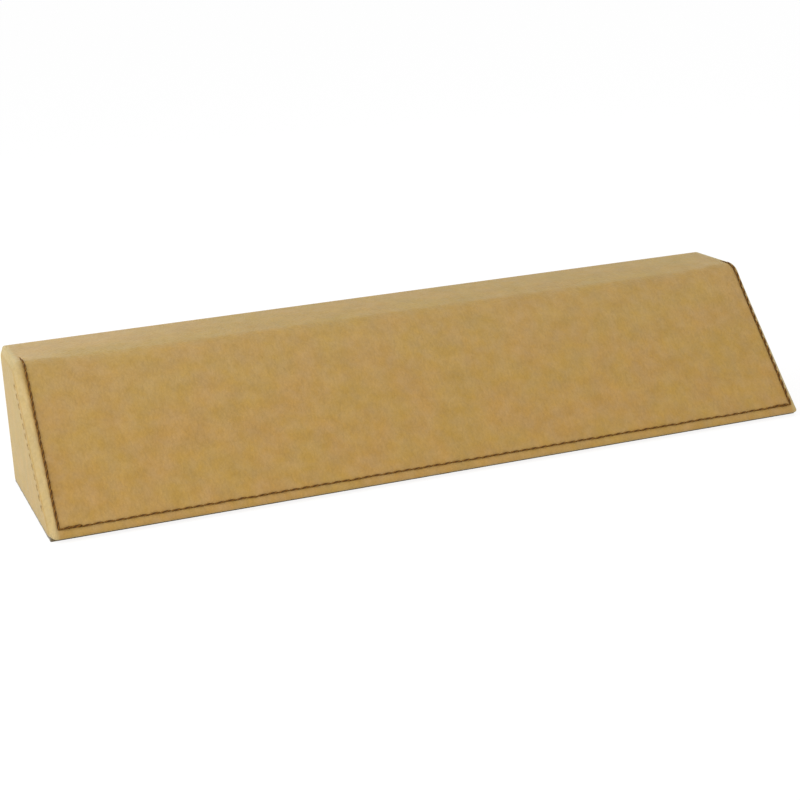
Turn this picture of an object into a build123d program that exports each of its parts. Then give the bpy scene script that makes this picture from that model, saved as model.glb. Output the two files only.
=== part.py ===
from build123d import *
from math import radians, sin, tan
import os

# Desk name plate: a hollow wedge of thin board, covered in leatherette with stitched edges.
# +X runs along the plate, -Y is its sloping front and +Z is up. The origin is the middle of the
# footprint, on the surface that the plate stands on. Sizes are in millimetres.

# The wedge, over its cover
length = 266.7  # over both end covers
depth = 69.85  # from the rounded foot of the front to the back
height = 47.6  # from the surface to the top
slope = 47.5  # of the front, in degrees from the horizontal
nose_radius = 8.0  # round between the top and the front
back_radius = 1.5  # fold between the top and the back
hem_radius = 1.0  # folds that turn the wrap under the base
end_fold_radius = 0.8  # folds that turn the wrap in over the ends

# Sheet stock
leather = 1.0
board = 3.0
felt = 1.0

# How the sheets lie
turn_in = 10.0  # how far the wrap is turned in over the ends and under the base
cover_inset = 0.9  # from the outside of the wrap to the edge of an end cover
cover_corner_radius = 1.0  # back corner of an end cover
cover_edge_radius = 0.8  # outer edge of an end cover
felt_inset = 3.0  # from the outside of the wrap to the edge of the felt, at the front and the back
felt_end_inset = 0.3  # from the outside of an end cover to the edge of the felt
felt_corner_radius = 2.0
glue_line = 0.1  # round an end board, inside the box of boards
card_gap = 0.2  # between a card and the turned-in edges round it

# Seams
stitch_pitch = 3.5
stitch_gap = 0.8  # between the ends of two stitches
thread = 0.7  # thickness in the middle of a stitch
thread_end = 0.4  # thickness where it enters the leatherette
thread_sides = 6
groove_width = 1.0
groove_depth = 0.3  # how far the stitches sink into the leatherette
side_seam_inset = 3.0  # from the end of the plate
foot_seam_inset = 4.0  # up the front, from the corner under the hem
seam_over_top = 8.0  # how far a side seam runs back from the corner over the nose
end_seam_inset = 4.5  # from the sloping edge of an end
end_seam_margin = 6.0  # below the top and above the base

# Planes that the pieces share
slope_angle = radians(slope)
hem_setback = hem_radius / tan(slope_angle / 2) - hem_radius  # of the foot, behind its sharp corner
back_y = depth / 2
foot_y = -depth / 2 - hem_setback  # corner where the front would meet the base
wrap_half = length / 2 - leather  # to the outside of the turned-in ends
core_half = wrap_half - leather  # to the ends of the box of boards
core_low = felt + leather
core_high = height - leather
lengthwise = Vector(1, 0, 0)
upslope = Vector(0, 1 / tan(slope_angle), 1).normalized()
outward = lengthwise.cross(upslope)  # square to the front


def front_at(z, inset):
    """Gives the Y of the front, set in by inset, at height z."""
    return foot_y + (z - felt) / tan(slope_angle) + inset / sin(slope_angle)


def end_outline(inset, low):
    """Gives the corners of the end profile, set in at the front, top and back, from height low up."""
    back = back_y - inset
    high = height - inset
    return [(front_at(low, inset), low), (back, low), (back, high), (front_at(high, inset), high)]


def end_profile(inset, low, low_radius, back_corner_radius, x=0):
    """Makes the end profile as a face at x, its nose rounded about the same axis at every inset."""
    radii = [low_radius, low_radius, back_corner_radius, nose_radius - inset]
    with BuildSketch(Plane.YZ.offset(x)) as profile:
        with BuildLine():
            FilletPolyline(*end_outline(inset, low), radius=radii, close=True)
        make_face()
    return profile.sketch


def plain_profile(inset, low, x):
    """Makes the end profile as a face at x, with sharp corners."""
    with BuildSketch(Plane.YZ.offset(x)) as profile:
        with BuildLine():
            Polyline(*end_outline(inset, low), close=True)
        make_face()
    return profile.sketch


def side_seam_path(x):
    """Gives the line of a side seam: from the top, over the nose and down the front."""
    corner = Vector(x, front_at(height, 0), height)
    foot = Vector(x, foot_y, felt) + upslope * foot_seam_inset
    with BuildLine() as path:
        FilletPolyline(corner + Vector(0, seam_over_top, 0), corner, foot, radius=nose_radius)
    return path.wire()


def straight_path(start, end):
    """Gives the line of a straight seam."""
    with BuildLine() as path:
        Line(start, end)
    return path.wire()


def stitch_places(path, across):
    """Gives the places of a seam's stitches, each lying along the path on the floor of its groove."""
    count = round(path.length / stitch_pitch)
    places = []
    for number in range(count):
        distance = (number + 0.5) * path.length / count
        along = path.tangent_at(distance, PositionMode.LENGTH)
        out = along.cross(across)
        floor = path.position_at(distance, PositionMode.LENGTH) - out * groove_depth
        places.append(Location(Plane(origin=floor, x_dir=along, z_dir=out)))
    return places


wrap_profile = end_profile(0, felt, hem_radius, back_radius)
core_profile = end_profile(leather, core_low, 0, max(back_radius - leather, 0))

side_seam_x = length / 2 - side_seam_inset
left_path = side_seam_path(-side_seam_x)
right_path = side_seam_path(side_seam_x)
bottom_path = straight_path(left_path @ 1, right_path @ 1)

# Box of boards: the base and top run from front to back, the front and back stand between them
with BuildPart() as base_board:
    extrude(core_profile, amount=core_half, both=True)
    split(bisect_by=Plane.XY.offset(core_low + board), keep=Keep.BOTTOM)

with BuildPart() as top_board:
    extrude(core_profile, amount=core_half, both=True)
    split(bisect_by=Plane.XY.offset(core_high - board), keep=Keep.TOP)

inside_of_front = Plane(origin=(0, front_at(felt, leather + board), felt), z_dir=outward)
with BuildPart() as front_board:
    extrude(core_profile, amount=core_half, both=True)
    split(bisect_by=Plane.XY.offset(core_low + board), keep=Keep.TOP)
    split(bisect_by=Plane.XY.offset(core_high - board), keep=Keep.BOTTOM)
    split(bisect_by=inside_of_front, keep=Keep.TOP)

back_board_height = core_high - core_low - 2 * board
with BuildPart() as back_board:
    with BuildSketch(Plane.XY.offset(core_low + board)):
        with Locations((0, back_y - leather - board / 2)):
            Rectangle(2 * core_half, board)
    extrude(amount=back_board_height)

end_board_inset = leather + board + glue_line
with BuildPart() as left_end_board:
    extrude(plain_profile(end_board_inset, felt + end_board_inset, -core_half), amount=board)

with BuildPart() as right_end_board:
    mirror(left_end_board.part, about=Plane.YZ)

# The wrap: one sheet over the front, the nose, the top and the back, with every edge turned in
with BuildPart() as wrap_cover:
    extrude(wrap_profile, amount=wrap_half, both=True)
    fillet(wrap_cover.faces().filter_by(Axis.X).edges(), radius=end_fold_radius)
    extrude(core_profile, amount=core_half, both=True, mode=Mode.SUBTRACT)
    extrude(plain_profile(turn_in, felt, 0), amount=wrap_half, both=True, mode=Mode.SUBTRACT)
    for path, across in ((left_path, lengthwise), (right_path, lengthwise), (bottom_path, upslope)):
        with BuildSketch(Plane(origin=path @ 0, x_dir=across, z_dir=path % 0)):
            Rectangle(groove_width, 2 * groove_depth)
        sweep(path=path, mode=Mode.SUBTRACT)

# Cards that fill the windows between the turned-in edges
with BuildPart() as left_end_card:
    extrude(plain_profile(turn_in + card_gap, felt, -wrap_half), amount=leather)

with BuildPart() as right_end_card:
    mirror(left_end_card.part, about=Plane.YZ)

with BuildPart() as base_card:
    extrude(plain_profile(turn_in + card_gap, felt, 0), amount=core_half, both=True)
    split(bisect_by=Plane.XY.offset(core_low), keep=Keep.BOTTOM)

# End covers, over the cards and the turned-in edges
end_seam_low = felt + end_seam_margin
end_seam_high = height - end_seam_margin
end_path = straight_path(
    (-length / 2, front_at(end_seam_low, end_seam_inset), end_seam_low),
    (-length / 2, front_at(end_seam_high, end_seam_inset), end_seam_high),
)
with BuildPart() as left_end_cover:
    extrude(end_profile(cover_inset, felt, 0, cover_corner_radius, -length / 2), amount=leather)
    fillet(left_end_cover.faces().sort_by(Axis.X)[0].edges(), radius=cover_edge_radius)
    with BuildSketch(Plane(origin=end_path @ 0, x_dir=outward, z_dir=end_path % 0)):
        Rectangle(groove_width, 2 * groove_depth)
    sweep(path=end_path, mode=Mode.SUBTRACT)

with BuildPart() as right_end_cover:
    mirror(left_end_cover.part, about=Plane.YZ)

# Felt that the plate stands on
felt_front = front_at(felt, felt_inset)
felt_back = back_y - felt_inset
with BuildPart() as felt_base:
    with BuildSketch():
        with Locations((0, (felt_front + felt_back) / 2)):
            RectangleRounded(length - 2 * felt_end_inset, felt_back - felt_front, felt_corner_radius)
    extrude(amount=felt)

# One stitch, lying along X on the floor of its groove: the thread thins towards its needle holes
stitch_half = (stitch_pitch - stitch_gap) / 2
with BuildPart() as stitch:
    for x, thickness in (
        (-stitch_half, thread_end),
        (-stitch_half / 2, thread),
        (stitch_half / 2, thread),
        (stitch_half, thread_end),
    ):
        with BuildSketch(Plane.YZ.offset(x)):
            with Locations((0, thickness / 2)):
                RegularPolygon(thickness / 2, thread_sides, major_radius=False)
    loft(ruled=True)

# Seams: rows of separate stitches, half sunk in their grooves
with BuildPart() as left_seam:
    with Locations(*stitch_places(left_path, lengthwise)):
        add(stitch.part)

with BuildPart() as right_seam:
    mirror(left_seam.part, about=Plane.YZ)

with BuildPart() as bottom_seam:
    with Locations(*stitch_places(bottom_path, upslope)):
        add(stitch.part)

with BuildPart() as left_end_seam:
    with Locations(*stitch_places(end_path, -outward)):
        add(stitch.part)

with BuildPart() as right_end_seam:
    mirror(left_end_seam.part, about=Plane.YZ)

pieces = {
    "base_board": base_board,
    "front_board": front_board,
    "top_board": top_board,
    "back_board": back_board,
    "left_end_board": left_end_board,
    "right_end_board": right_end_board,
    "wrap_cover": wrap_cover,
    "left_end_card": left_end_card,
    "right_end_card": right_end_card,
    "base_card": base_card,
    "left_end_cover": left_end_cover,
    "right_end_cover": right_end_cover,
    "felt_base": felt_base,
    "left_seam": left_seam,
    "bottom_seam": bottom_seam,
    "right_seam": right_seam,
    "left_end_seam": left_end_seam,
    "right_end_seam": right_end_seam,
}

os.makedirs("parts", exist_ok=True)
for name, piece in pieces.items():
    piece.part.label = name
    export_step(piece.part, f"parts/{name}.step")
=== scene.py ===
import random
from math import acos, ceil, cos, exp, pi, radians, sin, tan

import bmesh
import bpy
from mathutils import Matrix, Vector, noise


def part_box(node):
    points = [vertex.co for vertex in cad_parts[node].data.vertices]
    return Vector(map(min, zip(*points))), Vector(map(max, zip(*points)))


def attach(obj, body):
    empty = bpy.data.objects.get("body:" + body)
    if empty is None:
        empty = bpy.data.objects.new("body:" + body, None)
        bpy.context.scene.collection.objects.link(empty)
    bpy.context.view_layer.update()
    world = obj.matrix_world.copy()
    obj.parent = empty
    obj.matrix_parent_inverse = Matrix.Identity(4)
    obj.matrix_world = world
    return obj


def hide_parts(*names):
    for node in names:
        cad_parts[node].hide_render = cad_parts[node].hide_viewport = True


# Desk name plate: a wedge wrapped in tan leatherette, with stitched edges and a felt base.
# Lengths are in metres, in the frame of the solids: +X along the plate, -Y out of the front, +Z up.

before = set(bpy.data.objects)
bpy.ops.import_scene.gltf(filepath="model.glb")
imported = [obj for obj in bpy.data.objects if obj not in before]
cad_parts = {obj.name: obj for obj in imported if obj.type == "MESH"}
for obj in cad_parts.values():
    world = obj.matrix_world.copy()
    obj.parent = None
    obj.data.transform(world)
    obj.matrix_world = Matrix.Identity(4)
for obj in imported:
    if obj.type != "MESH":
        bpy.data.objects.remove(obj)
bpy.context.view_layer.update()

MM = 0.001
NEAR = 0.01 * MM  # points closer than this count as one
INSIDE = 0.99  # share of a reach that counts as inside it
FACING = 0.99  # least cosine between X and the normal of a face on an end
PARALLEL = 0.999  # least cosine between a seam and an edge along it

# Forms that the sheets share with the solids
SLOPE = radians(47.5)
NOSE_RADIUS = 8 * MM
BACK_RADIUS = 1.5 * MM
HEM_RADIUS = 1.0 * MM
TURN_IN = 10 * MM
COVER_CORNER_RADIUS = 1.0 * MM  # upper back corner of an end panel

# Seams, placed as on the solids
STITCH_PITCH = 3.5 * MM
SIDE_SEAM_INSET = 3.0 * MM
FOOT_SEAM_INSET = 4.0 * MM
SEAM_OVER_TOP = 8.0 * MM
END_SEAM_INSET = 4.5 * MM
END_SEAM_MARGIN = 6.0 * MM

# The wrap, where it is softer than its solid
SHEET = 0.7 * MM  # thickness of the leatherette where its cut edge shows
END_FOLD_RADIUS = 2.5 * MM  # fold over an end, where it is widest: halfway up the front
TIGHT_FOLD_RADIUS = 1.0 * MM  # the same fold along the base, the top and the back
FOLD_EASE = 10 * MM  # how far it takes to widen
MITRE = 2.5 * MM  # how far up from a hem the corner of the turned-in edge is cut away
NOTCH = 6 * MM  # the same on both sides of the fold at the back
NOSE_SAG = 0.85 * MM  # how far the nose sinks between the ends, where no end board holds it up
NOSE_SAG_WIDTH = 8 * MM
NOSE_SAG_FADE = 16 * MM

# Largest steps of the wrap's grid
FLAT_STEP = 1.75 * MM  # over the front and the top, and along the plate
BACK_STEP = 3.0 * MM
NOSE_STEP = 0.7 * MM
BACK_FOLD_STEP = 0.5 * MM
END_FOLD_STEP = 0.55 * MM
FRONT_HEM_STEP = 0.4 * MM
REAR_HEM_STEP = 0.35 * MM
TURN_IN_STEP = 3.5 * MM  # under the base
END_TURN_IN_STEP = 4.2 * MM  # over the ends

# The end panels, whose edges are thinned
COVER_INSET = 0.5 * MM  # from the outside of the wrap to the edge
SKIVE = 2.4 * MM  # how far in from the edge the panel is thinned
LOW_SKIVE = 0.6 * MM  # the same along the base
SKIVE_RINGS = 8
SKIVED_EDGE = 1.0 * MM  # how far the thinned edge goes on, out of sight in the wrap
EDGE_SINK = 0.04 * MM  # how far it is pressed into the wrap
TIP_RADIUS = 1.2 * MM  # lower front corner
HEEL_RADIUS = 0.5 * MM  # lower back corner
CORNER_STEPS = [5, 3, 5, 12]  # facets round the corners: tip, heel, upper back and nose
FRONT_STEPS = 16  # facets along the sloping edge, so that it follows the fold
PANEL_SMOOTH = radians(35)  # edges that turn by less are shaded smooth

# The felt
FELT_CORNER_RADIUS = 0.6 * MM
FELT_CORNER_STEPS = 5
FELT_UNEVENNESS = 0.12 * MM  # of its cut edge
FELT_WAVE = 2.5  # length of that unevenness, in millimetres
FELT_BACK_INSET = 0.3 * MM  # it reaches nearly to the back
FELT_CUTS_LONG = 199  # in its long edges, to make them uneven
FELT_CUTS_SHORT = 47
FELT_SMOOTH = radians(50)

# Stitches
SIDE_THREAD = 0.8 * MM
SIDE_THREAD_END = 0.3  # share of the thread that stands out where a side seam ends, over the nose
SIDE_THREAD_FADE = 9 * MM
FOOT_THREAD = 0.62 * MM
END_THREAD = 0.7 * MM
END_THREAD_HEIGHT = 0.4 * MM  # the end seams' thread is pressed flat
SIDE_STITCH = 3.55 * MM  # long enough to meet the next one in the needle hole
FOOT_STITCH = 3.4 * MM
END_STITCH = 2.8 * MM
THREAD_PLIES = 2.0
THREAD_TWIST = 3.0  # turns of the plies along the whole height of a stitch's map
STITCH_SIDES = 8
STITCH_CUTS = 5
STITCH_THINNING = 0.4  # share of its thickness that a stitch loses towards its ends
STITCH_DIP = 0.32 * MM  # how far its ends dip
STITCH_SWING = 0.035  # spread of the stitches' slant, as a slope
END_STITCH_SWING = 0.03
STITCH_SLIP = 0.04 * MM  # spread of their places beside the line
LEFT_SEAM_LEAN = 0.8 * MM  # how far a side seam drifts along the plate on its way up, as it was sewn
RIGHT_SEAM_LEAN = 0.5 * MM
BACK_TACKS = (0.75, 1.6)  # where the foot seam is sewn twice over, in stitches from both ends
BACK_TACK_RISE = 0.45  # how far those stitches are raised, as a share of the thread
BACK_TACK_SHIFT = 0.6  # how far up the front they lie, as a share of that rise

# How a seam draws the leatherette in
GROOVE_DEPTH = 0.14 * MM
GROOVE_WIDTH = 0.50 * MM
HOLE_DEPTH = 0.16 * MM
HOLE_WIDTH = 0.50 * MM
SHOULDER_HEIGHT = 0.07 * MM
SHOULDER_PLACE = 1.5 * MM
SHOULDER_WIDTH = 0.75 * MM
SHOULDER_WAVE = 0.3  # share of the shoulders' height that comes and goes with the stitches
SEAM_REACH = 3.4 * MM  # how far from a seam the leatherette is drawn up
END_SEAM_REACH = 1.5 * MM  # the same on an end
SEAM_CUTS = 3  # in the grid beside a seam of the wrap
END_SEAM_EDGE_CUTS = 6  # in the strip beside a seam of an end, along its edges
END_SEAM_CUTS = 13  # and then all over

# Painted sheen: how much of a paler tan is mixed into the leatherette, from 0 to 1, for the pale light
# round the ends and over the nose
PAINTED_SHEEN = "painted_sheen"  # attribute that tells it
SEAM_PAINTED_SHEEN = (-0.4 * MM, 1.0 * MM)  # from where to where past a side seam it grows
PANEL_PAINTED_SHEEN = (0.05 * MM, 0.4 * MM)  # the same down from the outside of an end panel
END_PANEL_PAINTED_LIGHT = 0.3  # how much painted sheen an end panel gets all over, so that the whole end shows lighter
NOSE_PAINTED_SHEEN = 0.18  # the same over the nose
NOSE_PAINTED_SHEEN_DOWN = 22 * MM  # how far that reaches down the front
NOSE_PAINTED_SHEEN_BACK = 6 * MM  # and back over the top

# Places read from the frame
wrap_low, wrap_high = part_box("wrap_cover")
WRAP_HALF = wrap_high.x
FLAT_HALF = WRAP_HALF - END_FOLD_RADIUS
END_X = -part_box("left_end_cover")[0].x
BASE_Z = wrap_low.z
TOP_Z = wrap_high.z
BACK_Y = wrap_high.y
FOOT_Y = wrap_low.y - (HEM_RADIUS / tan(SLOPE / 2) - HEM_RADIUS)
NOSE_Y = FOOT_Y + (TOP_Z - BASE_Z) / tan(SLOPE)
SIDE_SEAM_X = END_X - SIDE_SEAM_INSET


def linear(hex_colour):
    """Turns an sRGB hex colour to linear RGBA."""
    channels = [int(hex_colour[i : i + 2], 16) / 255 for i in (1, 3, 5)]
    return [c / 12.92 if c <= 0.04045 else ((c + 0.055) / 1.055) ** 2.4 for c in channels] + [1.0]


def node(tree, kind, inputs=None, **settings):
    """Adds a node: inputs holds sockets to link from or values, by input, and settings are properties."""
    new = tree.nodes.new(kind)
    for name, value in settings.items():
        setattr(new, name, value)
    for name, value in (inputs or {}).items():
        socket = new.inputs[name]
        if isinstance(value, bpy.types.NodeSocket):
            tree.links.new(value, socket)
        else:
            socket.default_value = value
    return new


def new_material(name):
    """Starts a material and gives its node tree and its shader."""
    material = bpy.data.materials.new(name)
    material.use_nodes = True
    tree = material.node_tree
    shader = tree.nodes["Principled BSDF"]
    return material, tree, shader


def per_mm(size):
    """Gives the scale of a pattern whose features are size millimetres across."""
    return 1 / (size * MM)


def leatherette_material():
    """Tan synthetic leather: a matte coat on cloth, softly mottled, embossed with pebbles and wrinkles.

    The coat is painted paler past the side seams, over the nose and on the end panels, a painted sheen
    for the pale light there, and it has a soft sheen at a low angle.
    """
    material, tree, shader = new_material("tan_leatherette")
    place = node(tree, "ShaderNodeTexCoord").outputs["UV"]
    patch = node(
        tree,
        "ShaderNodeTexNoise",
        {"Vector": place, "Scale": per_mm(17), "Detail": 3.0},
        noise_dimensions="2D",
    )
    hue = node(tree, "ShaderNodeValToRGB", {"Fac": patch.outputs["Fac"]})
    hue.color_ramp.elements[0].position = 0.35
    hue.color_ramp.elements[0].color = linear("#B08D4F")
    hue.color_ramp.elements[1].position = 0.65
    hue.color_ramp.elements[1].color = linear("#B28C53")
    # painted sheen: the attribute mixes in a paler tan (#BAA16F), for the pale light round the ends and
    # over the nose
    painted_sheen = node(tree, "ShaderNodeAttribute", attribute_name=PAINTED_SHEEN)
    dye_and_painted_sheen = node(
        tree,
        "ShaderNodeMix",
        {0: painted_sheen.outputs["Fac"], 6: hue.outputs["Color"], 7: linear("#BAA16F")},
        data_type="RGBA",
    )

    wrinkles = []
    for turn in (0.6, -0.25):
        drawn = node(
            tree, "ShaderNodeMapping", {"Vector": place, "Rotation": (0, 0, turn), "Scale": (1, 0.4, 1)}
        )
        wrinkle = node(
            tree,
            "ShaderNodeTexNoise",
            {"Vector": drawn.outputs[0], "Scale": per_mm(0.9), "Detail": 2.0, "Distortion": 0.7},
            noise_dimensions="2D",
        )
        wrinkles.append(wrinkle.outputs["Fac"])
    lie = node(
        tree,
        "ShaderNodeTexNoise",
        {"Vector": place, "Scale": per_mm(11), "Detail": 1.0},
        noise_dimensions="2D",
    )
    side = node(
        tree, "ShaderNodeMapRange", {"Value": lie.outputs["Fac"], "From Min": 0.4, "From Max": 0.6}
    )
    wrinkled = node(
        tree, "ShaderNodeMix", {0: side.outputs[0], 2: wrinkles[0], 3: wrinkles[1]}, data_type="FLOAT"
    )
    fleck = node(
        tree,
        "ShaderNodeTexNoise",
        {"Vector": place, "Scale": per_mm(7), "Detail": 6.0, "Roughness": 0.62},
        noise_dimensions="2D",
    )
    mottle = node(
        tree,
        "ShaderNodeMix",
        {0: 0.4, 2: fleck.outputs["Fac"], 3: wrinkled.outputs[0]},
        data_type="FLOAT",
    )

    bend = node(
        tree,
        "ShaderNodeTexNoise",
        {"Vector": place, "Scale": per_mm(2), "Detail": 2.0},
        noise_dimensions="2D",
    )
    shift = node(
        tree,
        "ShaderNodeVectorMath",
        {0: bend.outputs["Color"], 1: (0.6 * MM, 0.6 * MM, 0)},
        operation="MULTIPLY",
    )
    bent = node(tree, "ShaderNodeVectorMath", {0: place, 1: shift.outputs[0]}, operation="ADD")
    pebble = node(
        tree,
        "ShaderNodeTexVoronoi",
        {"Vector": bent.outputs[0], "Scale": per_mm(0.9), "Smoothness": 0.5},
        feature="SMOOTH_F1",
        voronoi_dimensions="2D",
    )
    tone = node(
        tree,
        "ShaderNodeMapRange",
        {
            "Value": mottle.outputs[0],
            "From Min": 0.35,
            "From Max": 0.65,
            "To Min": 0.94,
            "To Max": 1.10,
        },
    )
    # painted shade: the grain's creases are darkened a little, as the bump would shade them
    painted_crease_shade = node(
        tree,
        "ShaderNodeMapRange",
        {
            "Value": pebble.outputs["Distance"],
            "From Min": 0.2,
            "From Max": 0.8,
            "To Min": 1.0,
            "To Max": 0.95,
        },
    )
    value = node(tree, "ShaderNodeMath", {0: tone.outputs[0], 1: painted_crease_shade.outputs[0]}, operation="MULTIPLY")
    fade = node(
        tree,
        "ShaderNodeTexNoise",
        {"Vector": place, "Scale": per_mm(4.5), "Detail": 3.0},
        noise_dimensions="2D",
    )
    depth = node(
        tree,
        "ShaderNodeMapRange",
        {
            "Value": fade.outputs["Fac"],
            "From Min": 0.3,
            "From Max": 0.7,
            "To Min": 0.96,
            "To Max": 1.04,
        },
    )
    colour = node(
        tree,
        "ShaderNodeHueSaturation",
        {"Color": dye_and_painted_sheen.outputs[2], "Saturation": depth.outputs[0], "Value": value.outputs[0]},
    )

    low = node(
        tree,
        "ShaderNodeBump",
        {"Strength": 0.5, "Distance": 0.25 * MM, "Height": mottle.outputs[0]},
    )
    coarse = node(
        tree,
        "ShaderNodeBump",
        {
            "Strength": 0.6,
            "Distance": 0.15 * MM,
            "Height": pebble.outputs["Distance"],
            "Normal": low.outputs["Normal"],
        },
        invert=True,
    )
    pore = node(
        tree,
        "ShaderNodeTexNoise",
        {"Vector": place, "Scale": per_mm(0.35), "Detail": 4.0},
        noise_dimensions="2D",
    )
    fine = node(
        tree,
        "ShaderNodeBump",
        {
            "Strength": 0.3,
            "Distance": 0.04 * MM,
            "Height": pore.outputs["Fac"],
            "Normal": coarse.outputs["Normal"],
        },
    )
    tree.links.new(colour.outputs["Color"], shader.inputs["Base Color"])
    tree.links.new(fine.outputs["Normal"], shader.inputs["Normal"])
    shader.inputs["Roughness"].default_value = 0.42
    shader.inputs["IOR"].default_value = 1.12
    shader.inputs["Sheen Weight"].default_value = 0.14
    shader.inputs["Sheen Roughness"].default_value = 0.6
    shader.inputs["Sheen Tint"].default_value = (0.85, 1.0, 0.55, 1)
    return material


def thread_material(name, colour, shade):
    """Twisted polyester sewing thread: plies wind round it, with painted shade between them, and a low
    sheen.
    """
    material, tree, shader = new_material(name)
    place = node(tree, "ShaderNodeTexCoord").outputs["UV"]
    parts = node(tree, "ShaderNodeSeparateXYZ", {"Vector": place})
    around = node(tree, "ShaderNodeMath", {0: parts.outputs["X"], 1: THREAD_PLIES}, operation="MULTIPLY")
    along = node(tree, "ShaderNodeMath", {0: parts.outputs["Y"], 1: THREAD_TWIST}, operation="MULTIPLY")
    wound = node(tree, "ShaderNodeMath", {0: around.outputs[0], 1: along.outputs[0]}, operation="ADD")
    turn = node(tree, "ShaderNodeMath", {0: wound.outputs[0], 1: 2 * pi}, operation="MULTIPLY")
    ply = node(tree, "ShaderNodeMath", {0: turn.outputs[0]}, operation="SINE")
    # painted shade: the ramp darkens the gaps between the plies
    ramp = node(tree, "ShaderNodeValToRGB", {"Fac": ply.outputs[0]})
    ramp.color_ramp.elements[0].position = 0.0
    ramp.color_ramp.elements[0].color = linear(shade)
    ramp.color_ramp.elements[1].position = 0.7
    ramp.color_ramp.elements[1].color = linear(colour)
    bump = node(
        tree,
        "ShaderNodeBump",
        {"Strength": 0.6, "Distance": 0.08 * MM, "Height": ply.outputs[0]},
    )
    tree.links.new(ramp.outputs["Color"], shader.inputs["Base Color"])
    tree.links.new(bump.outputs["Normal"], shader.inputs["Normal"])
    shader.inputs["Roughness"].default_value = 0.6
    shader.inputs["Specular IOR Level"].default_value = 0.15
    return material


def felt_material():
    """Pressed felt: short matted fibres with no gloss."""
    material, tree, shader = new_material("pressed_felt")
    place = node(tree, "ShaderNodeTexCoord").outputs["Object"]
    mat = node(
        tree,
        "ShaderNodeTexNoise",
        {"Vector": place, "Scale": per_mm(0.6), "Detail": 8.0, "Distortion": 1.5},
    )
    ramp = node(tree, "ShaderNodeValToRGB", {"Fac": mat.outputs["Fac"]})
    ramp.color_ramp.elements[0].position = 0.3
    ramp.color_ramp.elements[0].color = linear("#54482F")
    ramp.color_ramp.elements[1].position = 0.7
    ramp.color_ramp.elements[1].color = linear("#75674A")
    bump = node(
        tree,
        "ShaderNodeBump",
        {"Strength": 0.7, "Distance": 0.2 * MM, "Height": mat.outputs["Fac"]},
    )
    tree.links.new(ramp.outputs["Color"], shader.inputs["Base Color"])
    tree.links.new(bump.outputs["Normal"], shader.inputs["Normal"])
    shader.inputs["Roughness"].default_value = 0.95
    shader.inputs["Sheen Weight"].default_value = 0.4
    return material


def board_material(name, dark, light, fibre):
    """Raw pressed board: fibres of a length in millimetres lie in all directions, dry and matte."""
    material, tree, shader = new_material(name)
    place = node(tree, "ShaderNodeTexCoord").outputs["Object"]
    fibres = node(
        tree,
        "ShaderNodeTexNoise",
        {"Vector": place, "Scale": per_mm(fibre), "Detail": 8.0},
    )
    ramp = node(tree, "ShaderNodeValToRGB", {"Fac": fibres.outputs["Fac"]})
    ramp.color_ramp.elements[0].position = 0.3
    ramp.color_ramp.elements[0].color = linear(dark)
    ramp.color_ramp.elements[1].position = 0.7
    ramp.color_ramp.elements[1].color = linear(light)
    bump = node(
        tree,
        "ShaderNodeBump",
        {"Strength": 0.3, "Distance": 0.05 * MM, "Height": fibres.outputs["Fac"]},
    )
    tree.links.new(ramp.outputs["Color"], shader.inputs["Base Color"])
    tree.links.new(bump.outputs["Normal"], shader.inputs["Normal"])
    shader.inputs["Roughness"].default_value = 0.85
    return material


def set_material(piece, material):
    piece.data.materials.clear()
    piece.data.materials.append(material)


def rename(name):
    """Names the piece that an operator has just added, and its mesh."""
    piece = bpy.context.active_object
    piece.name = name
    piece.data.name = name
    return piece


def select(piece):
    """Selects a piece alone and makes it the active one."""
    bpy.ops.object.select_all(action="DESELECT")
    piece.select_set(True)
    bpy.context.view_layer.objects.active = piece


def edit(piece):
    """Selects a piece alone and opens it for editing."""
    select(piece)
    bpy.ops.object.mode_set(mode="EDIT")


def close_edit():
    bpy.ops.object.mode_set(mode="OBJECT")


def pick(kind, test):
    """Selects the faces, edges or verts of the mesh being edited that pass a test."""
    bpy.ops.mesh.select_mode(type={"faces": "FACE", "edges": "EDGE", "verts": "VERT"}[kind])
    bpy.ops.mesh.select_all(action="DESELECT")
    data = bpy.context.edit_object.data
    mesh = bmesh.from_edit_mesh(data)
    for part in getattr(mesh, kind):
        part.select_set(bool(test(part)))
    mesh.select_flush_mode()
    bmesh.update_edit_mesh(data)


def span(edge):
    """Gives how far an edge reaches along each axis."""
    return Vector([abs(reach) for reach in edge.verts[1].co - edge.verts[0].co])


def apply_modifier(piece, kind, **settings):
    """Adds a modifier with its settings and applies it."""
    select(piece)
    modifier = piece.modifiers.new(kind.lower(), kind)
    for name, value in settings.items():
        setattr(modifier, name, value)
    bpy.ops.object.modifier_apply(modifier=modifier.name)


def map_sheet(piece, flat):
    """Maps a sheet's grain in metres: flat gives where a point of the piece lies on the uncut sheet."""
    corners = piece.data.uv_layers.active.data
    for loop in piece.data.loops:
        corners[loop.index].uv = flat(piece.data.vertices[loop.vertex_index].co)


def mark_painted_sheen(piece, share):
    """Marks how much painted sheen a sheet gets: share gives it for a point of the piece."""
    marks = piece.data.attributes.new(PAINTED_SHEEN, "FLOAT", "POINT")
    for vertex in piece.data.vertices:
        marks.data[vertex.index].value = share(vertex.co)


def graded(start, *spans):
    """Gives the lines of a grid from start on, through spans of (end, largest step)."""
    slack = 0.001  # of a step, so that whole steps get no line more
    lines = [start]
    for end, step in spans:
        first = lines[-1]
        count = max(1, ceil((end - first) / step - slack))
        lines += [first + (end - first) * (i + 1) / count for i in range(count)]
    return lines


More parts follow.
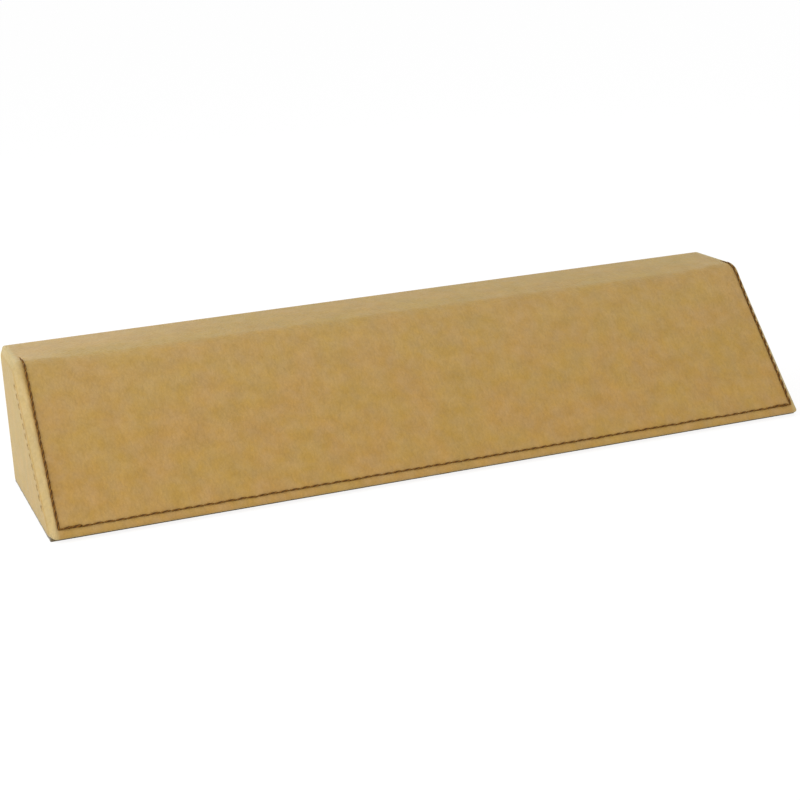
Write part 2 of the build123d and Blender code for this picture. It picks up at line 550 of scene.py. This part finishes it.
class Profile:
    """The line round the wedge that the wrap follows: straight runs joined by round folds, as (Y, Z)."""

    def __init__(self, corners, radii):
        self.pieces = []
        self.marks = [0.0]
        start = corners[0]
        for here, after, radius in zip(corners[1:], corners[2:], radii):
            towards = (here - start).normalized()
            turn = towards.angle((after - here).normalized())
            setback = radius * tan(turn / 2)
            end = here - towards * setback
            normal = Vector((-towards.y, towards.x))
            self._add((end - start).length, ("run", start, towards, normal))
            self._add(radius * turn, ("fold", end - normal * radius, radius, normal, turn))
            start = here + (after - here).normalized() * setback
        towards = (corners[-1] - start).normalized()
        normal = Vector((-towards.y, towards.x))
        self._add((corners[-1] - start).length, ("run", start, towards, normal))

    def _add(self, length, piece):
        self.pieces.append(piece)
        self.marks.append(self.marks[-1] + length)

    def _number_at(self, s):
        """Gives the number of the piece at distance s, the fold where a fold and a run meet."""
        slack = 0.001 * MM
        for number in range(1, len(self.pieces), 2):
            if s < self.marks[number] - slack:
                return number - 1
            if s < self.marks[number + 1] + slack:
                return number
        return len(self.pieces) - 1

    def _trim(self, number, inset):
        """Gives how much of a run the corner at fold number takes off, once the line is set in."""
        if not 0 <= number < len(self.pieces):
            return 0.0
        _, _, radius, _, turn = self.pieces[number]
        share = -1 / tan(turn) if self._at_hem(number) else tan(turn / 2)
        return max(inset - radius, 0.0) * share

    def _at_hem(self, number):
        """Tells whether a fold turns the line under the base, where a set-in line ends level with it."""
        return number in (1, len(self.pieces) - 2)

    def place(self, s, inset=0.0):
        """Gives the point at distance s along the line, set in by inset, and the outward normal there."""
        number = self._number_at(s)
        along = s - self.marks[number]
        kind, origin, *form = self.pieces[number]
        if kind == "run":
            towards, normal = form
            length = self.marks[number + 1] - self.marks[number]
            along = max(along, self._trim(number - 1, inset))
            along = min(along, length - self._trim(number + 1, inset))
            return origin + towards * along - normal * inset, normal
        radius, first, turn = form
        normal = Matrix.Rotation(-along / radius, 2) @ first
        if inset < radius:
            return origin + normal * (radius - inset), normal
        if self._at_hem(number):
            inward = Vector((1, 0)) if number == 1 else Vector((-1, 0))
            return origin + inward * (inset - radius) / sin(turn), normal
        middle = Matrix.Rotation(-turn / 2, 2) @ first
        return origin + middle * (radius - inset) / cos(turn / 2), normal


profile = Profile(
    [
        Vector((FOOT_Y + TURN_IN / sin(SLOPE), BASE_Z)),
        Vector((FOOT_Y, BASE_Z)),
        Vector((NOSE_Y, TOP_Z)),
        Vector((BACK_Y, TOP_Z)),
        Vector((BACK_Y, BASE_Z)),
        Vector((BACK_Y - TURN_IN, BASE_Z)),
    ],
    [HEM_RADIUS, NOSE_RADIUS, BACK_RADIUS, HEM_RADIUS],
)
HEM_START, HEM_END, NOSE_START, NOSE_END = profile.marks[1:5]
BACK_START, BACK_END, REAR_START, REAR_END, SHEET_END = profile.marks[5:]
FOLD_OUT = FLAT_HALF + END_FOLD_RADIUS * pi / 2
SHEET_HALF = FOLD_OUT + TURN_IN - END_FOLD_RADIUS
FOOT_SEAM_S = HEM_END + FOOT_SEAM_INSET - HEM_RADIUS / tan(SLOPE / 2)
TOP_SEAM_S = NOSE_END + SEAM_OVER_TOP - NOSE_RADIUS * tan(SLOPE / 2)


def eased(share):
    """Gives a smooth step from 0 to 1 as share goes from 0 to 1."""
    share = min(max(share, 0), 1)
    return share**2 * (3 - 2 * share)


def growth(place, ends):
    """Gives a smooth step from 0 to 1 as place goes from the first of two ends to the second."""
    return eased((place - ends[0]) / (ends[1] - ends[0]))


def fold_radius(y, z):
    """Gives the radius of the fold over an end, beside a point of the line round the wedge."""
    widened = eased(min(z - BASE_Z, TOP_Z - z, BACK_Y - y) / FOLD_EASE)
    return TIGHT_FOLD_RADIUS + (END_FOLD_RADIUS - TIGHT_FOLD_RADIUS) * widened


def wrap_place(u, s, lift=0.0):
    """Gives where a point of the flat sheet lies once it is folded over the boards, raised by lift."""
    side = 1 if u > 0 else -1
    radius = fold_radius(*profile.place(s)[0])
    past = abs(u) - (WRAP_HALF - radius)
    x, inset, tilt = abs(u), 0.0, 0.0
    if past > 0:
        tilt = min(past / radius, pi / 2)
        x = WRAP_HALF - radius * (1 - sin(tilt))
        inset = radius * (1 - cos(tilt)) + max(past - radius * pi / 2, 0)
    point, normal = profile.place(s, inset)
    out = Vector((side * sin(tilt), normal.x * cos(tilt), normal.y * cos(tilt)))
    return Vector((side * x, point.x, point.y)) + out * lift


def seam_steps(length):
    """Gives the distances along a seam of the middles of its stitches."""
    count = round(length / STITCH_PITCH)
    return [(i + 0.5) * length / count for i in range(count)]


def drawn_in(across, along, length, reach):
    """Gives how far a seam moves the leatherette within reach: a groove, holes and soft shoulders."""
    step = length / round(length / STITCH_PITCH)
    beyond = max(-along, along - length, 0)
    to_hole = abs(along / step - round(along / step)) * step
    fade = exp(-((beyond / SHOULDER_WIDTH) ** 2)) * max(1 - (across / reach) ** 2, 0)
    groove = GROOVE_DEPTH * exp(-((across / GROOVE_WIDTH) ** 2))
    hole = HOLE_DEPTH * exp(-((across**2 + to_hole**2) / HOLE_WIDTH**2))
    rise = 1 - SHOULDER_WAVE + SHOULDER_WAVE * cos(2 * pi * along / step + pi)
    aside = (abs(across) - SHOULDER_PLACE) / SHOULDER_WIDTH
    shoulder = SHOULDER_HEIGHT * rise * exp(-(aside**2))
    return fade * (shoulder - groove - hole)


def side_seam_at(side, s):
    """Gives where a side seam lies along the plate, at distance s up the sheet."""
    share = min(max((s - FOOT_SEAM_S) / (NOSE_START - FOOT_SEAM_S), 0), 1)
    return side * SIDE_SEAM_X + share * (RIGHT_SEAM_LEAN if side > 0 else LEFT_SEAM_LEAN)


def near_seam(u, s):
    """Tells whether a point of the flat sheet lies close to one of the front's seams."""
    side = 1 if u > 0 else -1
    beside = abs(u - side_seam_at(side, s)) < SEAM_REACH
    along = FOOT_SEAM_S - SEAM_REACH < s < TOP_SEAM_S + SEAM_REACH
    by_foot = abs(s - FOOT_SEAM_S) < SEAM_REACH and abs(u) < SIDE_SEAM_X + SEAM_REACH
    return (beside and along) or by_foot


def wrap_lift(u, s):
    """Gives how far the wrap's surface stands off its flat form at a point of the flat sheet."""
    free = eased((FLAT_HALF - abs(u) - SEAM_REACH) / NOSE_SAG_FADE)
    off_nose = (s - (NOSE_START + NOSE_END) / 2) / NOSE_SAG_WIDTH
    sag = -NOSE_SAG * free * exp(-(off_nose**2))
    if not near_seam(u, s):
        return sag
    foot = drawn_in(s - FOOT_SEAM_S, u + SIDE_SEAM_X, 2 * SIDE_SEAM_X, SEAM_REACH)
    across = u - side_seam_at(1 if u > 0 else -1, s)
    side = drawn_in(across, s - FOOT_SEAM_S, TOP_SEAM_S - FOOT_SEAM_S, SEAM_REACH)
    return sag + (min(foot, side) if min(foot, side) < 0 else max(foot, side))


def wrap_painted_sheen(u, s):
    """Gives how much painted sheen the wrap gets at a point of the flat sheet: most over the ends."""
    away = max((NOSE_START - s) / NOSE_PAINTED_SHEEN_DOWN, (s - NOSE_END) / NOSE_PAINTED_SHEEN_BACK, 0)
    nose = NOSE_PAINTED_SHEEN * exp(-(away**2))
    return max(nose, growth(abs(u) - SIDE_SEAM_X, SEAM_PAINTED_SHEEN))


def make_wrap(material):
    """Cuts the sheet flat, then folds it over the front, nose, top and back and turns its edges in."""
    half = graded(
        0, (FLAT_HALF, FLAT_STEP), (FOLD_OUT, END_FOLD_STEP), (SHEET_HALF, END_TURN_IN_STEP)
    )
    columns = [-u for u in reversed(half[1:])] + half
    rows = graded(
        0.0,
        (HEM_START, TURN_IN_STEP),
        (HEM_END, FRONT_HEM_STEP),
        (NOSE_START, FLAT_STEP),
        (NOSE_END, NOSE_STEP),
        (BACK_START, FLAT_STEP),
        (BACK_END, BACK_FOLD_STEP),
        (REAR_START, BACK_STEP),
        (REAR_END, REAR_HEM_STEP),
        (SHEET_END, TURN_IN_STEP),
    )
    bpy.ops.object.select_all(action="DESELECT")
    bpy.ops.mesh.primitive_grid_add(
        x_subdivisions=len(columns) - 1, y_subdivisions=len(rows) - 1, size=1
    )
    wrap = rename("leatherette_wrap")
    for number, vertex in enumerate(wrap.data.vertices):
        vertex.co = (columns[number % len(columns)], rows[number // len(columns)], 0)
    edit(wrap)

    def at_corner(face):
        u, s, _ = face.calc_center_median()
        radius = fold_radius(*profile.place(s)[0])
        turned_in = abs(u) > WRAP_HALF + radius * (pi / 2 - 1)
        beside_hem = not HEM_END + MITRE < s < REAR_START - MITRE
        return turned_in and (beside_hem or BACK_START - NOTCH < s < BACK_END + NOTCH)

    pick("faces", at_corner)
    bpy.ops.mesh.delete(type="FACE")
    pick("faces", lambda f: near_seam(*f.calc_center_median().xy))
    bpy.ops.mesh.subdivide(number_cuts=SEAM_CUTS)
    close_edit()
    map_sheet(wrap, lambda flat: flat.xy)
    # painted sheen on the wrap: full past the side seams, some over the nose
    mark_painted_sheen(wrap, lambda flat: wrap_painted_sheen(flat.x, flat.y))
    for vertex in wrap.data.vertices:
        u, s, _ = vertex.co
        vertex.co = wrap_place(u, s, wrap_lift(u, s))
    edit(wrap)
    bpy.ops.mesh.select_all(action="SELECT")
    bpy.ops.mesh.remove_doubles(threshold=NEAR)
    close_edit()
    apply_modifier(wrap, "SOLIDIFY", thickness=SHEET, offset=-1)
    bpy.ops.object.shade_smooth()
    set_material(wrap, material)
    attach(wrap, "root")
    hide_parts("wrap_cover")


def front_at(z, inset):
    """Gives the Y of the front, set in by inset, at height z."""
    return FOOT_Y + (z - BASE_Z) / tan(SLOPE) + inset / sin(SLOPE)


def end_seam_at(z):
    """Gives the place of an end's seam at height z, on the plate's middle plane."""
    return Vector((0, front_at(z, END_SEAM_INSET), z))


END_SEAM_LOW = end_seam_at(BASE_Z + END_SEAM_MARGIN)
END_SEAM_HIGH = end_seam_at(TOP_Z - END_SEAM_MARGIN)
END_SEAM_LENGTH = (END_SEAM_HIGH - END_SEAM_LOW).length
UPSLOPE = (END_SEAM_HIGH - END_SEAM_LOW).normalized()
OUTWARD = Vector((1, 0, 0)).cross(UPSLOPE)


def rounded(corners, radii, steps):
    """Gives the points of a closed outline, each corner rounded to its radius in a number of steps."""
    points = []
    for number, (corner, radius, count) in enumerate(zip(corners, radii, steps)):
        before = (corners[number - 1] - corner).normalized()
        after = (corners[(number + 1) % len(corners)] - corner).normalized()
        half = before.angle(after) / 2
        centre = corner + (before + after).normalized() * radius / sin(half)
        first = corner + before * radius / tan(half) - centre
        turns = [(pi - 2 * half) * i / count for i in range(count + 1)]
        points += [centre + Matrix.Rotation(turn, 2) @ first for turn in turns]
    return points


def cover_outline(share):
    """Gives an end panel's outline, as (Y, Z): its edge at share 0, where it is full at share 1."""
    inset = COVER_INSET + share * SKIVE
    low, high = BASE_Z + share * LOW_SKIVE, TOP_Z - inset
    corners = [
        Vector((front_at(low, inset), low)),
        Vector((BACK_Y - inset, low)),
        Vector((BACK_Y - inset, high)),
        Vector((front_at(high, inset), high)),
    ]
    radii = [TIP_RADIUS, HEEL_RADIUS, COVER_CORNER_RADIUS, NOSE_RADIUS - inset]
    points = rounded(corners, radii, CORNER_STEPS)
    return points + [points[-1].lerp(points[0], i / FRONT_STEPS) for i in range(1, FRONT_STEPS)]


def cover_height(share, y, z):
    """Gives how far along X an end panel's surface lies: its edge carries on the slope of the fold."""
    radius = fold_radius(y, z)
    tilt = acos(1 - COVER_INSET / radius)
    edge = WRAP_HALF - radius * (1 - sin(tilt)) - EDGE_SINK
    rise = END_X - edge
    start = SKIVE / (rise * tan(tilt))
    return edge + rise * (start * share * (1 - share) ** 2 + eased(share))


def place_ring(side, before, after, share):
    """Moves the selected ring of the panel being edited from one outline to the next one, at share."""
    data = bpy.context.edit_object.data
    mesh = bmesh.from_edit_mesh(data)
    for vertex in mesh.verts:
        if vertex.select:
            number = min(range(len(before)), key=lambda i: (vertex.co.yz - before[i]).length)
            vertex.co = (side * cover_height(share, *after[number]), *after[number])
    bmesh.update_edit_mesh(data)


def make_end_cover(side, name, node_name, material):
    """Cuts a panel to the wedge's end, thins its edge all round and draws it in along its seam."""
    outer = side * END_X
    outline = cover_outline(0)
    bpy.ops.object.select_all(action="DESELECT")
    bpy.ops.mesh.primitive_circle_add(vertices=len(outline), fill_type="NGON")
    cover = rename(name)
    for vertex, (y, z) in zip(cover.data.vertices, outline):
        vertex.co = (side * (cover_height(0, y, z) - SKIVED_EDGE), y, z)
    cover.data.update()
    edit(cover)
    bpy.ops.mesh.select_all(action="SELECT")
    for ring in range(SKIVE_RINGS + 1):
        share = ring / SKIVE_RINGS
        bpy.ops.mesh.extrude_region_move()
        place_ring(side, outline, cover_outline(share), share)
        outline = cover_outline(share)
    bpy.ops.mesh.select_all(action="SELECT")
    bpy.ops.mesh.normals_make_consistent(inside=False)

    def on_flat(face):
        return abs(face.normal.x) > FACING and abs(face.calc_center_median().x - outer) < NEAR

    def on_strip(face):
        across = (face.calc_center_median() - END_SEAM_LOW).dot(OUTWARD)
        return on_flat(face) and abs(across) < END_SEAM_REACH * INSIDE

    def along_strip(edge):
        first, last = [vertex.co - END_SEAM_LOW for vertex in edge.verts]
        on_edge = abs(abs(first.dot(OUTWARD)) - END_SEAM_REACH) < NEAR and abs(first.x - outer) < NEAR
        parallel = abs((last - first).normalized().dot(UPSLOPE)) > PARALLEL
        return on_edge and parallel and 0 < ((first + last) / 2).dot(UPSLOPE) < END_SEAM_LENGTH

    for place in (-END_SEAM_REACH, END_SEAM_REACH):
        pick("faces", on_flat)
        bpy.ops.mesh.bisect(plane_co=END_SEAM_LOW + OUTWARD * place, plane_no=OUTWARD)
    for place in (END_SEAM_LOW - UPSLOPE * END_SEAM_REACH, END_SEAM_HIGH + UPSLOPE * END_SEAM_REACH):
        pick("faces", on_strip)
        bpy.ops.mesh.bisect(plane_co=place, plane_no=UPSLOPE)
    pick("edges", along_strip)
    bpy.ops.mesh.subdivide(number_cuts=END_SEAM_EDGE_CUTS)
    pick("faces", lambda f: on_strip(f) and len(f.verts) == 4)
    bpy.ops.mesh.subdivide(number_cuts=END_SEAM_CUTS)
    close_edit()
    for vertex in cover.data.vertices:
        across = (vertex.co - END_SEAM_LOW).dot(OUTWARD)
        along = (vertex.co - END_SEAM_LOW).dot(UPSLOPE)
        if abs(vertex.co.x - outer) < NEAR and abs(across) < END_SEAM_REACH * INSIDE:
            vertex.co.x += side * drawn_in(across, along, END_SEAM_LENGTH, END_SEAM_REACH)
    map_sheet(cover, lambda point: point.yz)
    # painted sheen on an end panel: some all over, full at its thinned edge
    mark_painted_sheen(cover, lambda point: max(END_PANEL_PAINTED_LIGHT, growth(END_X - abs(point.x), PANEL_PAINTED_SHEEN)))
    bpy.ops.object.shade_smooth_by_angle(angle=PANEL_SMOOTH)
    set_material(cover, material)
    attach(cover, "root")
    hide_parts(node_name)


def make_stitch(length, thread):
    """Models one stitch along X: a length of thread that thins and dips towards its needle holes."""
    bpy.ops.object.select_all(action="DESELECT")
    bpy.ops.mesh.primitive_cylinder_add(
        vertices=STITCH_SIDES, radius=thread / 2, depth=length, rotation=(0, pi / 2, 0)
    )
    stitch = rename("stitch")
    bpy.ops.object.transform_apply(location=True, rotation=True, scale=True)
    edit(stitch)
    pick("edges", lambda e: span(e).x > length / 2)
    bpy.ops.mesh.subdivide(number_cuts=STITCH_CUTS)
    close_edit()
    for vertex in stitch.data.vertices:
        share = abs(vertex.co.x) / (length / 2)
        thin = 1 - STITCH_THINNING * share**4
        vertex.co.y *= thin
        vertex.co.z = vertex.co.z * thin - STITCH_DIP * share**3
    bpy.ops.object.shade_smooth()
    return stitch


def sew(stitch, name, node_name, places, material):
    """Copies a stitch to each place, a function that lays its points on a surface, and joins the row."""
    row = []
    for number, place in enumerate(places):
        copy = stitch.copy()
        copy.data = stitch.data.copy()
        copy.name = f"{name}_{number}"
        bpy.context.collection.objects.link(copy)
        for vertex in copy.data.vertices:
            vertex.co = place(vertex.co)
        row.append(copy)
    bpy.ops.object.select_all(action="DESELECT")
    for copy in row:
        copy.select_set(True)
    bpy.context.view_layer.objects.active = row[0]
    bpy.ops.object.join()
    seam = rename(name)
    set_material(seam, material)
    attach(seam, "root")
    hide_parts(node_name)


def side_places(side, chance):
    """Gives the places of a side seam's stitches, from its foot up over the nose, where they sink in."""
    places = []
    for step in seam_steps(TOP_SEAM_S - FOOT_SEAM_S):
        swing = chance.gauss(0, STITCH_SWING)
        slip = chance.gauss(0, STITCH_SLIP)

        def place(p, step=step, swing=swing, slip=slip):
            s = FOOT_SEAM_S + step + p.x
            grown = growth(TOP_SEAM_S - s, (0, SIDE_THREAD_FADE))
            out = SIDE_THREAD_END + (1 - SIDE_THREAD_END) * grown
            u = side_seam_at(side, s) + p.y * out + slip + swing * p.x
            return wrap_place(u, s, (p.z + SIDE_THREAD / 2) * out - GROOVE_DEPTH)

        places.append(place)
    return places


def foot_places(chance):
    """Gives the places of the foot seam's stitches, sewn twice over at both ends."""
    length = 2 * SIDE_SEAM_X
    steps = [(step, 0.0) for step in seam_steps(length)]
    pitch = steps[1][0] - steps[0][0]
    for number in BACK_TACKS:
        step, raised = number * pitch, BACK_TACK_RISE * FOOT_THREAD
        steps += [(step, raised), (length - step, raised)]
    places = []
    for step, raised in steps:
        swing = chance.gauss(0, STITCH_SWING)
        slip = chance.gauss(0, STITCH_SLIP)

        def place(p, step=step, raised=raised, swing=swing, slip=slip):
            s = FOOT_SEAM_S + p.y + slip + swing * p.x + raised * BACK_TACK_SHIFT
            lift = p.z + FOOT_THREAD / 2 - GROOVE_DEPTH + raised
            return wrap_place(step - SIDE_SEAM_X + p.x, s, lift)

        places.append(place)
    return places


def end_places(side, chance):
    """Gives the places of the stitches beside the sloping edge of an end."""
    places = []
    for step in seam_steps(END_SEAM_LENGTH):
        swing = chance.gauss(0, END_STITCH_SWING)
        slip = chance.gauss(0, STITCH_SLIP)

        def place(p, step=step, swing=swing, slip=slip):
            point = END_SEAM_LOW + UPSLOPE * (step + p.x) + OUTWARD * (p.y + slip + swing * p.x)
            point.x = side * (END_X + END_THREAD_HEIGHT * (p.z / END_THREAD + 0.5) - GROOVE_DEPTH)
            return point

        places.append(place)
    return places


def make_felt(material):
    """Cuts the felt for the base: rounded corners and an edge that is a little uneven, as cut felt is."""
    low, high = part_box("felt_base")
    high.y = BACK_Y - FELT_BACK_INSET
    middle, size = (low + high) / 2, high - low
    bpy.ops.object.select_all(action="DESELECT")
    bpy.ops.mesh.primitive_cube_add(size=1, location=middle, scale=size)
    felt = rename("felt_pad")
    bpy.ops.object.transform_apply(location=True, rotation=True, scale=True)
    edit(felt)
    pick("edges", lambda e: span(e).z > size.z / 2)
    bpy.ops.mesh.bevel(offset=FELT_CORNER_RADIUS, segments=FELT_CORNER_STEPS, affect="EDGES")
    pick("edges", lambda e: span(e).x > size.x / 2)
    bpy.ops.mesh.subdivide(number_cuts=FELT_CUTS_LONG)
    pick("edges", lambda e: span(e).y > size.y / 2)
    bpy.ops.mesh.subdivide(number_cuts=FELT_CUTS_SHORT)
    pick("edges", lambda e: span(e).z > size.z / 2)
    bpy.ops.mesh.subdivide(number_cuts=1)
    close_edit()
    for vertex in felt.data.vertices:
        x, y, _ = vertex.co
        if min(x - low.x, high.x - x, y - low.y, high.y - y) < FELT_CORNER_RADIUS:
            inward = Vector((middle.x - x, middle.y - y, 0)).normalized()
            wave = 0.5 + noise.noise(vertex.co * per_mm(FELT_WAVE))
            vertex.co += inward * FELT_UNEVENNESS * wave
    bpy.ops.object.shade_smooth_by_angle(angle=FELT_SMOOTH)
    set_material(felt, material)
    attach(felt, "root")
    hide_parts("felt_base")


def seen_directly(tree):
    """Gives 1 on rays from the camera, in reflections and through glass, and 0 on other rays."""
    rays = node(tree, "ShaderNodeLightPath")
    mirrored = node(
        tree,
        "ShaderNodeMath",
        {0: rays.outputs["Is Camera Ray"], 1: rays.outputs["Is Glossy Ray"]},
        operation="MAXIMUM",
    )
    either = node(
        tree,
        "ShaderNodeMath",
        {0: mirrored.outputs[0], 1: rays.outputs["Is Transmission Ray"]},
        operation="MAXIMUM",
    )
    return either.outputs[0]


def stage_material(name):
    """White seamless paper: it shows as white where it is open, and keeps the shadow under the plate."""
    material, tree, shader = new_material(name)
    shader.inputs["Base Color"].default_value = linear("#F2F2F2")
    shader.inputs["Roughness"].default_value = 0.9
    shader.inputs["Specular IOR Level"].default_value = 0.0
    glow = node(tree, "ShaderNodeEmission", {"Color": (1, 1, 1, 1), "Strength": 1.1})
    share = node(tree, "ShaderNodeMath", {0: seen_directly(tree), 1: 0.78}, operation="MULTIPLY")
    mixed = node(
        tree,
        "ShaderNodeMixShader",
        {"Fac": share.outputs[0], 1: shader.outputs[0], 2: glow.outputs[0]},
    )
    tree.links.new(mixed.outputs[0], tree.nodes["Material Output"].inputs["Surface"])
    return material


def make_stage():
    """Lays the floor that the plate stands on, a hair below the felt."""
    bpy.ops.object.select_all(action="DESELECT")
    bpy.ops.mesh.primitive_plane_add(size=80, location=(0, 0, -0.05 * MM))
    floor = rename("floor")
    bpy.ops.object.transform_apply(location=True, rotation=True, scale=True)
    set_material(floor, stage_material("white_paper"))


def add_lamp(name, place, target, size, watts):
    """Hangs a square soft box at a place, aimed at a target, out of the camera's sight."""
    lamp = bpy.data.lights.new(name, "AREA")
    lamp.size = size
    lamp.energy = watts
    holder = bpy.data.objects.new(name, lamp)
    holder.location = place
    holder.rotation_euler = (Vector(target) - Vector(place)).to_track_quat("-Z", "Y").to_euler()
    holder.visible_camera = False
    bpy.context.collection.objects.link(holder)


def make_light():
    """Sets a plain white surround and four soft boxes: front left, above, left and behind."""
    world = bpy.data.worlds.new("white_surround")
    world.use_nodes = True
    tree = world.node_tree
    strength = node(
        tree,
        "ShaderNodeMapRange",
        {"Value": seen_directly(tree), "To Min": 0.68, "To Max": 1.0},
    )
    background = tree.nodes["Background"]
    background.inputs["Color"].default_value = (1, 1, 1, 1)
    tree.links.new(strength.outputs[0], background.inputs["Strength"])
    bpy.context.scene.world = world
    add_lamp("soft_box_front_left", (-0.34, -1.14, 0.35), (0, 0, 0.02), 0.9, 5.2)
    add_lamp("soft_box_above", (-0.38, 0.18, 0.45), (-0.08, 0.02, 0.04), 0.4, 0.5)
    add_lamp("soft_box_left", (-0.80, 0.05, 0.35), (-0.1, 0, 0.02), 0.4, 1.8)
    add_lamp("soft_box_behind", (-0.12, 0.75, 0.26), (-0.05, 0.02, 0.04), 0.4, 0.45)


def make_camera():
    """Puts the camera where the photograph was taken from."""
    data = bpy.data.cameras.new("camera")
    data.sensor_width = 36.0
    data.lens = 79.061
    camera = bpy.data.objects.new("camera", data)
    right = Vector((0.931883, -0.359031, -0.051865))
    up = Vector((0.146472, 0.241603, 0.959257))
    back = Vector((-0.331872, -0.901513, 0.277733))
    place = Vector((-0.205537, -0.545510, 0.185829))
    turn = Matrix((right, up, back)).transposed().to_4x4()
    camera.matrix_world = Matrix.Translation(place) @ turn
    bpy.context.collection.objects.link(camera)
    bpy.context.scene.camera = camera


leatherette = leatherette_material()
brown_thread = thread_material("brown_thread", "#855A1D", "#543711")
tan_thread = thread_material("tan_thread", "#B59A66", "#A0875A")
felt_cloth = felt_material()
fibreboard = board_material("fibreboard", "#8A6A48", "#A98A62", 0.8)
grey_card = board_material("grey_card", "#8E8A82", "#A7A39A", 0.5)

make_wrap(leatherette)
make_end_cover(-1, "left_end_panel", "left_end_cover", leatherette)
make_end_cover(1, "right_end_panel", "right_end_cover", leatherette)

chance = random.Random(7)
side_stitch = make_stitch(SIDE_STITCH, SIDE_THREAD)
foot_stitch = make_stitch(FOOT_STITCH, FOOT_THREAD)
end_stitch = make_stitch(END_STITCH, END_THREAD)
sew(side_stitch, "left_stitching", "left_seam", side_places(-1, chance), brown_thread)
sew(foot_stitch, "bottom_stitching", "bottom_seam", foot_places(chance), brown_thread)
sew(side_stitch, "right_stitching", "right_seam", side_places(1, chance), brown_thread)
sew(end_stitch, "left_end_stitching", "left_end_seam", end_places(-1, chance), tan_thread)
sew(end_stitch, "right_end_stitching", "right_end_seam", end_places(1, chance), tan_thread)
for pattern in (side_stitch, foot_stitch, end_stitch):
    bpy.data.objects.remove(pattern)

make_felt(felt_cloth)
for name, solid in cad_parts.items():
    if name.endswith("_board"):
        set_material(solid, fibreboard)
    if name.endswith("_card"):
        set_material(solid, grey_card)

make_stage()
make_light()
make_camera()
bpy.context.scene.view_settings.view_transform = "Standard"
